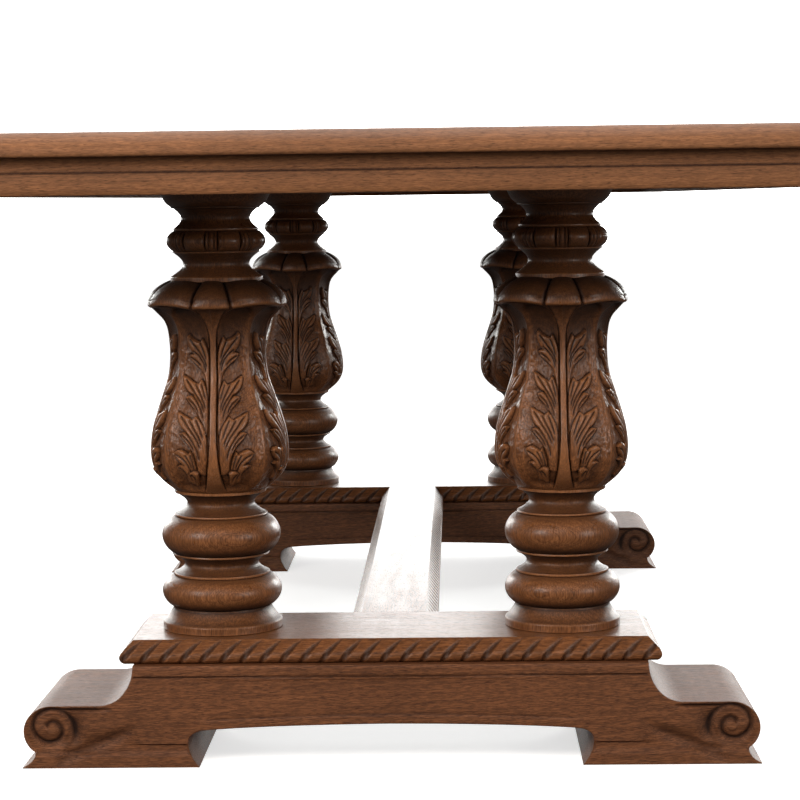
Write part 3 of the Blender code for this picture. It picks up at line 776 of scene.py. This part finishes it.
def rope_run(build, start, end, outward, mitres, hand):
    """A rope-carved nosing from start to end (x, y) along the flat's edge.

    Each of the two mitres is +1 where that end lengthens with the reach, or -1 where it shortens."""
    start, end = np.array(start, float), np.array(end, float)
    length = np.linalg.norm(end - start)
    along = (end - start) / length
    out, drop = rope_profile().T[:, :, None]
    normal = np.stack([np.gradient(drop[:, 0]), -np.gradient(out[:, 0])])
    normal /= np.linalg.norm(normal, axis=0)
    normal[:, 0], normal[:, -1] = (0.0, -1.0), (0.0, 1.0)
    s0, s1 = -mitres[0] * out, length + mitres[1] * out
    s = s0 + (s1 - s0) * np.linspace(0, 1, int(length / 0.0014) + 1)
    t = np.linspace(0, 1, len(out))[:, None] + 0 * s
    cut, cavity, wear = rope_relief(s, t, hand)
    cut = cut * (0.15 + 0.85 * smooth(0, 0.0012, s - s0) * smooth(0, 0.0012, s1 - s))
    reach = out - cut * unit(normal[0])[:, None]
    z = PLINTH_TOP - np.maximum(drop - 0.6 * cut * normal[1][:, None], 0.0)
    x, y = (start[k] + along[k] * s + outward[k] * reach for k in (0, 1))
    turns_left = along[0] * outward[1] - along[1] * outward[0] > 0
    build.grid(np.stack([x, y, z], -1), False, cavity, wear, turns_left)


def add_flats(build, x0, y0, x1, y1):
    """The level top inside the nosings, and the underside."""
    for z, order in ((PLINTH_TOP, (0, 1, 2, 3)), (PLINTH_TOP - ROPE_DROP, (3, 2, 1, 0))):
        build.add([(x0, y0, z), (x1, y0, z), (x1, y1, z), (x0, y1, z)], [order])


def build_plinth(node):
    low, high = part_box(node)
    x0, x1, y0, y1 = low.x + ROPE_REACH, high.x - ROPE_REACH, low.y + ROPE_REACH, high.y - ROPE_REACH
    inward = 1.0 if low.y < 0 else -1.0
    inner_y, outer_y = (y1, y0) if inward > 0 else (y0, y1)
    build = Build()
    rope_run(build, (x0, outer_y), (x1, outer_y), (0, -inward), (1, 1), inward)
    rope_run(build, (x0, inner_y), (-STRETCHER_HALF, inner_y), (0, inward), (1, -1), -inward)
    rope_run(build, (STRETCHER_HALF, inner_y), (x1, inner_y), (0, inward), (-1, 1), -inward)
    rope_run(build, (x0, y0), (x0, y1), (-1, 0), (1, 1), -1)
    rope_run(build, (x1, y0), (x1, y1), (1, 0), (1, 1), 1)
    add_flats(build, x0, y0, x1, y1)
    pith = (0.1, centre_of(node).y + 0.05, PLINTH_TOP + 0.16)
    build.finish(node, timber("X", pith, 0.03), "wood", base_wood, 50.0)


def build_stretcher():
    half, end, bottom, top = STRETCHER_HALF, stretcher_high.y, PLINTH_TOP - ROPE_DROP, PLINTH_TOP
    build = Build()
    for side in (-1, 1):
        rope_run(build, (side * half, -end), (side * half, end), (side, 0), (-1, -1), 1)
    add_flats(build, -half, -end, half, end)
    for y, order in ((-end, (0, 1, 2, 3)), (end, (3, 2, 1, 0))):
        build.add([(-half, y, bottom), (half, y, bottom), (half, y, top), (-half, y, top)], [order])
    build.finish("stretcher", timber("Y", (0.05, 0, top + 0.13), 0.02), "wood", base_wood, 50.0)


build_plinth("plinth_front")
build_plinth("plinth_rear")
build_stretcher()

# ---------- sleds
SHOULDER, COVE, FOOT_TOP = 0.322, 0.043, 0.079
SCROLL = (0.4250, 0.0482)
ARCH = ((0.2310, 0.0472), (0.1500, 0.0530), (0.0, 0.054))


def sled_outline():
    """(x, z) round a sled, clockwise from its right shoulder."""
    right = arc(SHOULDER + COVE, SLED_TOP, COVE, SLED_TOP - FOOT_TOP, 180.0, 270.0, 26)
    right += resample([right[-1], (0.4255, FOOT_TOP)], 0.003)[1:-1]
    right += arc(0.4255, 0.0465, 0.0350, 0.0325, 90.0, -48.0, 46)
    right += bezier(right[-1], (0.4458, 0.0215), (0.4462, 0.0185), 3)
    right += bezier((0.4462, 0.0185), (0.4472, 0.0085), (0.4630, 0.0008), 10)
    right += [(0.4628, 0.0), (0.2402, 0.0), (0.2400, 0.0008)]
    right += bezier((0.2400, 0.0008), (0.2535, 0.0160), (0.2535, 0.0310), 12)
    right += bezier((0.2535, 0.0310), (0.2535, 0.0455), ARCH[0], 14)
    right += bezier(*ARCH, 40)
    return right + [(-x, z) for x, z in reversed(right[:-1])]


def arch_height(x):
    """Underside of the sled at a distance from its middle."""
    return np.interp(x, *np.array(bezier(*ARCH, 60))[::-1].T)


def volute_groove(angle):
    """Radius (mm) of the spiral groove against its unwound angle in degrees, from the eye outwards."""
    return np.interp(angle, [20, 60, 93, 178, 270, 330, 369, 402, 450, 540, 600],
                     [6.4, 8.6, 10.4, 12.0, 15.0, 19.0, 23.4, 25.6, 26.6, 28.5, 31.0])


def scroll_relief(x, z):
    """Depth (positive is cut in), painted shade, and rubbed wear with a painted highlight on a foot's face; x
    runs outwards from the middle.
    """
    # distance (mm) and angle (degrees) from the eye of the scroll
    dx, dz = (x - SCROLL[0]) / MM, (z - SCROLL[1]) / MM
    rho = np.hypot(dx, dz)
    theta = np.degrees(np.arctan2(dz, dx)) % 360.0
    # a groove that leaves the scroll and runs under the foot's upper edge towards the cove, and the spiral
    groove = bell(z - 0.0744, 0.0017) * smooth(0.345, 0.372, x) * (x < SCROLL[0])
    for angle in (theta, theta + 360.0):
        d = rho - volute_groove(angle)
        cut = bell(d, np.where(d < 0, 2.2, 3.6))
        groove = np.maximum(groove, cut * smooth(15, 50, angle) * (1 - smooth(520, 595, angle)))
    # hollow behind the scroll, and a leaf-like ridge running down from it
    hollow = bell(x - 0.3945, 0.0095) * bell(z - 0.0500, 0.0175)
    sweep = bell(z - 0.0185 - 0.42 * (0.395 - x), 0.0075) * smooth(0.425, 0.405, x) * smooth(0.300, 0.345, x)
    hollow = np.maximum(hollow, 0.75 * sweep) * (1 - smooth(22.5, 19.5, rho))
    # the scroll's coil swells towards the eye, which is a raised boss
    eye = np.sqrt(unit(1 - (rho / 6.4) ** 2))
    coil = 0.0022 * smooth(28, 18, rho) - 0.0016 * (1 - smooth(8, 24, rho)) - 0.0020 * eye
    # the face above the pad is set back, and slopes out to the sole
    pad = smooth(0.0205, 0.0150, z)
    above = (1 - pad) * smooth(0.232, 0.262, x) * smooth(0.052, 0.030, z)
    depth = 0.0044 * groove + 0.0052 * hollow + coil + 0.0036 * above
    # painted shade in the grooves, the hollow behind the scroll and low on the set-back face above the pad
    cavity = unit(0.85 * groove + 0.55 * hollow + 0.25 * above * smooth(0.024, 0.019, z))
    # rubbed wear and painted highlight on the scroll's eye and the sole's edge
    wear = unit(eye * 0.5 + pad * smooth(0.004, 0.001, z) * 0.4) * (1 - cavity)
    return np.maximum(depth, 0.0), cavity, wear


def face_relief(x, z):
    """Depth, painted shade, and rubbed wear with a painted highlight on the whole face of a sled."""
    x = np.abs(x)
    depth, cavity, wear = scroll_relief(x, z)
    foot = smooth(0.300, 0.335, x)
    # line under the top band, a bead along the arch, and the sunk field between them
    line = bell(z - SLED_TOP + 0.0145, 0.0011) * smooth(0.3225, 0.3195, x)
    low = arch_height(x) + 0.0125
    bead = bell(z - low, 0.0013) * smooth(0.240, 0.225, x)
    field = smooth(0.0, 0.002, z - low) * smooth(0.0, 0.002, SLED_TOP - 0.0165 - z) * smooth(0.250, 0.225, x)
    depth = depth * np.where(z < 0.03, 1.0, foot) + 0.0022 * line + 0.0016 * bead + 0.0010 * field
    # painted shade in the line under the top band and along the arch's bead
    return depth, unit(cavity * foot + 0.8 * line + 0.55 * bead), wear


def offset_inside(outline, distance):
    """A clockwise outline moved inwards, point by point."""
    d = np.roll(outline, -1, 0) - np.roll(outline, 1, 0)
    return outline + distance * np.stack([d[:, 1], -d[:, 0]], -1) / np.hypot(*d.T)[:, None]


def sled_face():
    """Triangulated face of a sled: 2-D points, triangles, and which points make up the outline, in order."""
    outline = np.array(resample(sled_outline(), 0.004))
    outline = outline[np.hypot(*(outline - np.roll(outline, 1, 0)).T) > 1e-6]
    rings = [outline] + [offset_inside(outline, d) for d in (0.0005, 0.0014)]
    # fine over the scroll, coarser on the flank and in the beam between the feet
    scroll = np.meshgrid(np.arange(0.335, 0.462, 0.00125), np.arange(0.0015, SLED_TOP, 0.00125))
    flank = np.meshgrid(np.arange(0.238, 0.335, 0.003), np.arange(0.002, SLED_TOP, 0.0022))
    x, share = np.meshgrid(np.arange(0.0, 0.240, 0.006), np.linspace(0, 1, 44))
    lowest = arch_height(x) + 0.002
    beam = (x, lowest + (SLED_TOP - 0.0018 - lowest) * share)
    points = np.concatenate([np.reshape(part, (2, -1)).T for part in (scroll, flank, beam)])
    points = np.concatenate([points, points[points[:, 0] > 1e-6] * (-1.0, 1.0)])
    points = points[inside_polygon(points, offset_inside(outline, 0.0021))]
    every = [Vector(q) for q in np.concatenate(rings + [points])]
    n = len(outline)
    edges = [(i, (i + 1) % n) for i in range(n)]
    verts, _, triangles, origin, _, _ = delaunay_2d_cdt(every, edges, [], 1, 1e-7)
    order = np.full(n, -1)
    for index, sources in enumerate(origin):
        for source in sources:
            if source < n:
                order[source] = index
    return np.array([tuple(v) for v in verts]), np.array(triangles), order


def build_sleds():
    xz, triangles, order = sled_face()
    xz[:, 1] = np.maximum(xz[:, 1], 0.0)
    border = xz[order]
    depth, cavity, wear = face_relief(*xz.T)
    d = line_distance(xz, np.concatenate([border, border[:1]]))
    radius = 0.0015
    rounding = radius - np.sqrt(np.clip(radius ** 2 - np.clip(radius - d, 0, radius) ** 2, 0, None))
    sink = np.maximum(depth * smooth(0.0, 0.0035, d), rounding)
    for node in ("sled_front", "sled_rear"):
        low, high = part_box(node)
        build = Build()
        for y, sign in ((low.y, 1), (high.y, -1)):
            face = np.stack([xz[:, 0], y + sign * sink, xz[:, 1]], -1)
            build.add(face, [triangles[:, ::sign]], cavity, wear)
        ys = [low.y + radius, *np.linspace(low.y + 0.02, high.y - 0.02, 6), high.y - radius]
        build.grid(np.stack([np.insert(border, 1, y, axis=1) for y in ys]), True)
        pith = (0.0, centre_of(node).y + 0.09, -0.13)
        build.finish(node, timber("X", pith, 0.025), "wood", sled_wood, 40.0)


build_sleds()


# ---------- the top
RAIL_WIDTH, BAND_WIDTH = 0.095, 0.052
RAIL_BASE = TOP_Z - 0.030


def rail_section():
    """The thumbnail rail: (distance in from the edge, height over RAIL_BASE), and its closing corner."""
    low = arc(0.0032, 0.0045, 0.0032, 0.0042, 270.0, 180.0, 8)
    nose = arc(0.037, 0.0045, 0.037, 0.0255, 180.0, 90.0, 30)[1:]
    return low + nose + [(RAIL_WIDTH, 0.030)], (RAIL_WIDTH, 0.0003)


def band_section():
    """The edge band under it, in the same way."""
    face = arc(0.0100, -0.0305, 0.0032, 0.0130, 270.0, 90.0, 26)
    fillet = [(0.0112, -0.0176), (0.0128, -0.0172), (0.0128, -0.0152)]
    cove = arc(0.0046, -0.0150, 0.0102, 0.0150, 0.0, 90.0, 18)
    return [(BAND_WIDTH, -0.0435)] + face + fillet + cove, (BAND_WIDTH, 0.0)


def rail_shade(inset, z):
    # painted shade on the underside of the rail's nose
    return 0.42 * np.exp(-np.maximum(z, 0.0) / 0.0022) * (inset < 0.006)


def band_shade(inset, z):
    # painted shade in the fillet's crease, and the painted shadow of the nose over the top of the band
    return np.maximum(0.95 * bell(z + 0.0176, 0.0020), 0.38 * smooth(-0.0360, -0.0170, z)) * (inset < 0.02)


def mitred(node, section, closing, edge_shade, axis, side, grain):
    """A moulded edge piece, mitred at both ends. Its painted shade comes from a function of inset and height.
    """
    half_along, out_to = (HALF_Y, HALF_X) if axis == "Y" else (HALF_X, HALF_Y)
    inset, z = np.array(resample(section, 0.0016) + [closing]).T
    steps, gap = 40, 0.0002
    along = np.linspace(-1, 1, steps)[:, None] * (half_along - inset - gap)
    across = side * (out_to - inset) + 0 * along
    co = np.stack([across, along, RAIL_BASE + z + 0 * along], -1)
    if axis == "X":
        co = co[:, :, [1, 0, 2]]
    flip = (side > 0) == (axis == "Y")
    build = Build()
    build.grid(co, True, np.tile(edge_shade(inset, z), steps), None, flip)
    end = np.arange(len(z))[::1 if flip else -1]
    build.faces += [end[None], (end[::-1] + len(z) * (steps - 1))[None]]
    build.finish(node, grain, "top_wood", top_wood, 32.0)


def edge_timber(axis, side, away, along, below, turn):
    """Timber of an edge piece, with its pith outside the table's edge and below the top."""
    if axis == "Y":
        return timber(axis, (side * (HALF_X + away), along, TOP_Z - below), turn)
    return timber(axis, (along, side * (HALF_Y + away), TOP_Z - below), turn)


for label, axis, side in (("left", "Y", -1), ("right", "Y", 1), ("front", "X", -1), ("rear", "X", 1)):
    rail_grain = edge_timber(axis, side, 0.05, 0.2 if axis == "Y" else 0.1, 0.26, 0.012)
    mitred("top_rail_" + label, *rail_section(), rail_shade, axis, side, rail_grain)
    band_grain = edge_timber(axis, side, 0.10, 0.0, 0.20, 0.015)
    mitred("edge_band_" + label, *band_section(), band_shade, axis, side, band_grain)

# how far the pith of each board is to the side of its middle, and above its face
BOARD_PITHS = ((0.07, -0.11), (-0.05, 0.14), (0.02, -0.17), (-0.08, 0.12), (0.05, -0.13))


def build_board(number, aside, above):
    """A planed board with eased edges."""
    node = "top_board_%d" % (number + 1)
    low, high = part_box(node)
    ease, steps = 0.0006, 12
    xs = (low.x, low.x, low.x + ease, high.x - ease, high.x, high.x)
    zs = (low.z, high.z - ease, high.z, high.z, high.z - ease, low.z)
    co = np.stack([*np.meshgrid(xs, np.linspace(low.y, high.y, steps)), np.tile(zs, (steps, 1))], -1)
    build = Build()
    build.grid(co, True, np.tile((0, 0.8, 0, 0, 0.8, 0), steps), None, True)
    end = np.arange(len(zs))
    build.faces += [end[None], (end[::-1] + len(zs) * (steps - 1))[None]]
    pith = (centre_of(node).x + aside, 0.3 * number, high.z + above)
    build.finish(node, timber("Y", pith, 0.016 + 0.006 * number), "top_wood", top_wood, 30.0)


for number, (aside, above) in enumerate(BOARD_PITHS):
    build_board(number, aside, above)


# ---------- hidden pieces that keep their CAD shape
def dress(obj, material):
    if not obj.material_slots:
        obj.data.materials.append(material)
    for slot_item in obj.material_slots:
        slot_item.material = material


for node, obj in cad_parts.items():
    if node.startswith(("column_bolt", "column_washer", "bearer_screw")):
        dress(obj, steel)
    if node.startswith(("bearer_front", "bearer_rear", "stretcher_dowel")):
        dress(obj, bearer_wood)

# ---------- floor, light and camera
floor_mesh = bpy.data.meshes.new("floor")
floor_mesh.from_pydata([(-14, -14, 0), (14, -14, 0), (14, 30, 0), (-14, 30, 0)], [], [(0, 1, 2, 3)])
floor = place_object("floor", floor_mesh)
floor_nodes = Nodes("pale_floor")
for socket, value in (("Base Color", (0.94, 0.94, 0.94, 1.0)), ("Emission Color", (1.0, 1.0, 1.0, 1.0)),
                      ("Emission Strength", 0.62), ("Roughness", 0.9), ("Specular IOR Level", 0.1)):
    floor_nodes.shader.inputs[socket].default_value = value
floor_mesh.materials.append(floor_nodes.material)
floor.visible_diffuse = False
floor.visible_glossy = False

# The room: a wide bright window wall behind the table, darker towards the camera's side and below.
LIGHT_FRONT, LIGHT_SIDE, LIGHT_BACK, LIGHT_BELOW = 0.27, 0.16, 5.2, 0.07
world = bpy.data.worlds.new("studio")
bpy.context.scene.world = world
world.use_nodes = True
sky = world.node_tree
background = sky.nodes["Background"]
coords = sky.nodes.new("ShaderNodeTexCoord")
split = sky.nodes.new("ShaderNodeSeparateXYZ")
sky.links.new(coords.outputs["Generated"], split.inputs[0])


def fade(socket, start, end, low, high):
    """Goes smoothly from low to high while the socket's value goes from start to end."""
    node = sky.nodes.new("ShaderNodeMapRange")
    node.interpolation_type = "SMOOTHSTEP"
    for name, value in (("From Min", start), ("From Max", end), ("To Min", low), ("To Max", high)):
        if hasattr(value, "is_output"):
            sky.links.new(value, node.inputs[name])
        else:
            node.inputs[name].default_value = value
    sky.links.new(socket, node.inputs["Value"])
    return node.outputs["Result"]


sides = fade(split.outputs["Y"], -0.45, 0.30, LIGHT_FRONT, LIGHT_SIDE)
windows = fade(split.outputs["Y"], 0.66, 0.985, 0.0, 1.0)
windows = fade(split.outputs["Z"], 0.15, 0.85, windows, 0.0)
glow = sky.nodes.new("ShaderNodeMath")
glow.operation = "MULTIPLY_ADD"
glow.inputs[1].default_value = LIGHT_BACK
sky.links.new(windows, glow.inputs[0])
sky.links.new(sides, glow.inputs[2])
strength = fade(split.outputs["Z"], -0.05, 0.0, LIGHT_BELOW, glow.outputs[0])
sky.links.new(strength, background.inputs["Strength"])
background.inputs["Color"].default_value = (1.0, 0.99, 0.97, 1.0)


def area_light(name, place, target, size, watts, colour):
    data = bpy.data.lights.new(name, "AREA")
    data.shape = "RECTANGLE"
    data.size, data.size_y = size
    data.energy = watts
    data.color = colour
    light = place_object(name, data)
    light.location = place
    light.rotation_mode = "QUATERNION"
    light.rotation_quaternion = (Vector(target) - Vector(place)).to_track_quat("-Z", "Y")
    return light


TRESTLE, WARM, DAYLIGHT = (0.0, -0.85, 0.40), (1.0, 0.96, 0.91), (0.97, 1.0, 0.97)
key = area_light("key", (-0.5, -4.7, 3.15), TRESTLE, (3.0, 1.5), 157.0, (1.0, 0.95, 0.89))
key.visible_glossy = False
area_light("left_softbox", (-3.0, -3.9, 1.9), TRESTLE, (1.7, 1.5), 62.0, WARM)
area_light("right_softbox", (3.4, -3.4, 1.1), TRESTLE, (1.7, 1.5), 38.0, WARM)
area_light("overhead", (0.0, 0.3, 3.6), (0.0, 0.3, 0.0), (3.5, 3.5), 90.0, (1.0, 0.98, 0.96))
# the windows behind give the rims of the turnings their highlights
area_light("window_left", (-2.6, 3.2, 1.5), (0.0, 0.0, 0.35), (0.8, 1.1), 44.0, DAYLIGHT)
area_light("window_right", (2.6, 3.2, 1.5), (0.0, 0.0, 0.35), (0.8, 1.1), 56.0, DAYLIGHT)

# The camera, fitted to the photo's two trestles
EYE = Vector((0.0874, -2.9832 - centre_of("plinth_rear").y, 0.5478 + PLINTH_TOP))
YAW, PITCH, ROLL = math.radians(1.41), math.radians(4.91), math.radians(-0.72)
camera_data = bpy.data.cameras.new("camera")
camera_data.sensor_width = 36.0
camera_data.lens = 105.0
camera = place_object("camera", camera_data)
camera.matrix_world = (Matrix.Translation(EYE) @ Matrix.Rotation(YAW, 4, "Z")
                       @ Matrix.Rotation(0.5 * math.pi - PITCH, 4, "X") @ Matrix.Rotation(ROLL, 4, "Z"))
bpy.context.scene.camera = camera
bpy.context.scene.view_settings.view_transform = "Standard"
